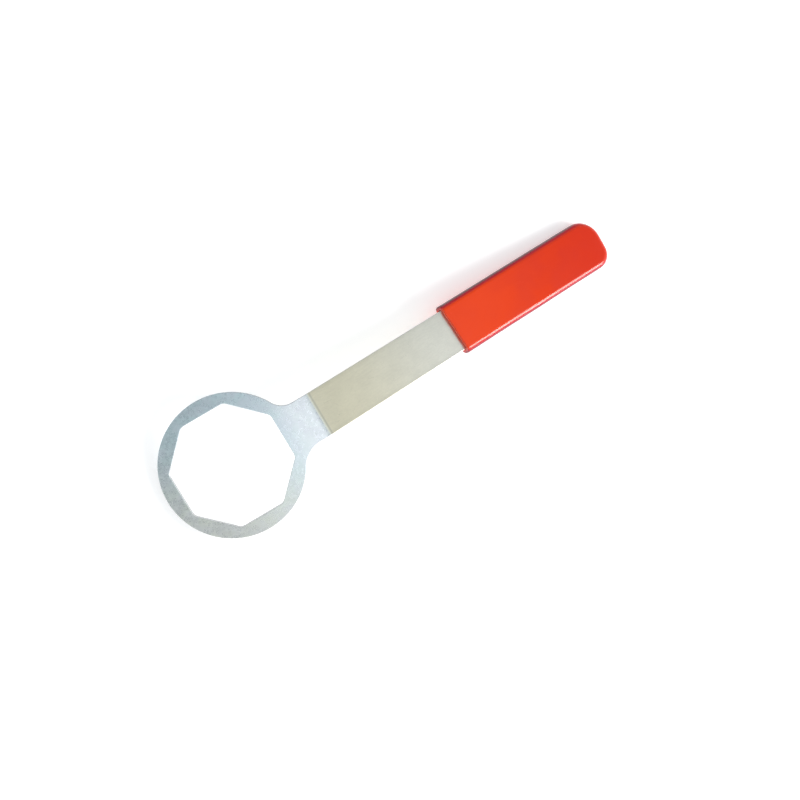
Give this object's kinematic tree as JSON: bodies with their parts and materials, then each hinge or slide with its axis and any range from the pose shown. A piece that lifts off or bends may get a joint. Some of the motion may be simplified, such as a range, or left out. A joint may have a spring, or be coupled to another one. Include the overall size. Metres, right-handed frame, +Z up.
{
  "type": "hydrant ring wrench",
  "caption": "Flat steel ring wrench with an octagonal opening, a bent neck and a dipped vinyl grip, for turning large hydrant caps and nuts.",
  "frame": {"origin": "centre of the octagonal opening, halfway through the plate", "axes": "+X from the head towards the grip, +Z up with the wrench lying on a level surface, bend uppermost; the head slopes up towards +X by 14.5 degrees and the bar slopes down by 5.5 degrees"},
  "size_m": [0.3827, 0.101, 0.034],
  "materials": {
    "zinc_plated_steel": "satin zinc plate, slightly bluish, fine grain",
    "dipped_vinyl": "glossy orange-red dipped vinyl"
  },
  "bodies": {
    "root": {"wrench_plate": "zinc_plated_steel", "handle_grip": "dipped_vinyl"}
  },
  "joints": []
}
